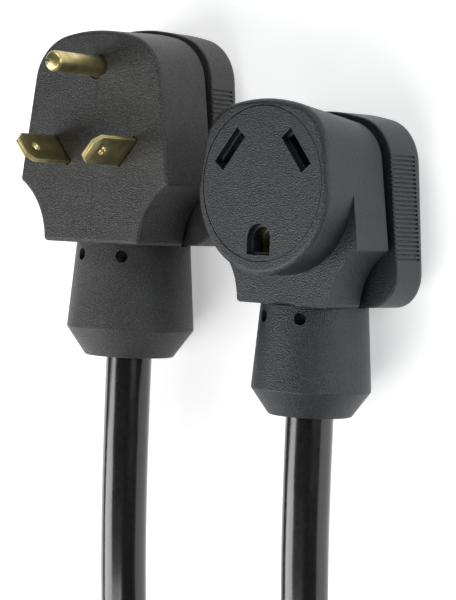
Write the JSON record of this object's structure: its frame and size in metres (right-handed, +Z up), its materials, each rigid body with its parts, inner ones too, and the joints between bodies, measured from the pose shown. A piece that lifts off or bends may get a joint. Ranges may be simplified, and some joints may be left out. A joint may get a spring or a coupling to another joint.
{
  "type": "power adapter dogbone",
  "caption": "Dogbone power adapter: right-angle plug with angled blades and round ground pin, right-angle socket connector, joined by one thick cord.",
  "frame": {"origin": "middle of the two heads' box, on the surface they lie on", "axes": "+Z up out of the faces, +Y away from the cord, +X from the plug to the connector"},
  "size_m": [0.2019, 0.453, 0.0745],
  "materials": {
    "plug_plastic": "fine grained black moulded vinyl",
    "connector_plastic": "fine grained blue-black moulded vinyl",
    "plug_insert": "black moulded insert, fine grain",
    "inner_plastic": "hidden moulded carrier",
    "brass": "stamped brass, slightly dulled",
    "copper": "bare stranded copper",
    "cord_jacket": "glossy black flexible jacket",
    "hot_insulation": "black insulation",
    "neutral_insulation": "white insulation",
    "ground_insulation": "green insulation"
  },
  "bodies": {
    "root": {"plug_body": "plug_plastic", "plug_rear_grip": "plug_plastic", "plug_collar": "plug_plastic", "plug_jacket_end": "cord_jacket", "plug_hot_wire": "hot_insulation", "plug_hot_strands": "copper", "plug_neutral_wire": "neutral_insulation", "plug_neutral_strands": "copper", "plug_ground_wire": "ground_insulation", "plug_ground_strands": "copper", "connector_body": "connector_plastic", "connector_rear_grip": "connector_plastic", "connector_collar": "connector_plastic", "connector_jacket_end": "cord_jacket", "connector_hot_wire": "hot_insulation", "connector_hot_strands": "copper", "connector_neutral_wire": "neutral_insulation", "connector_neutral_strands": "copper", "connector_ground_wire": "ground_insulation", "connector_ground_strands": "copper", "plug_blade_carrier": "plug_insert", "connector_contact_carrier": "inner_plastic", "connector_face": "connector_plastic", "plug_hot_blade": "brass", "plug_neutral_blade": "brass", "plug_ground_pin": "brass", "connector_hot_contact": "brass", "connector_neutral_contact": "brass", "connector_ground_contact": "brass", "cord": "cord_jacket"}
  },
  "joints": []
}
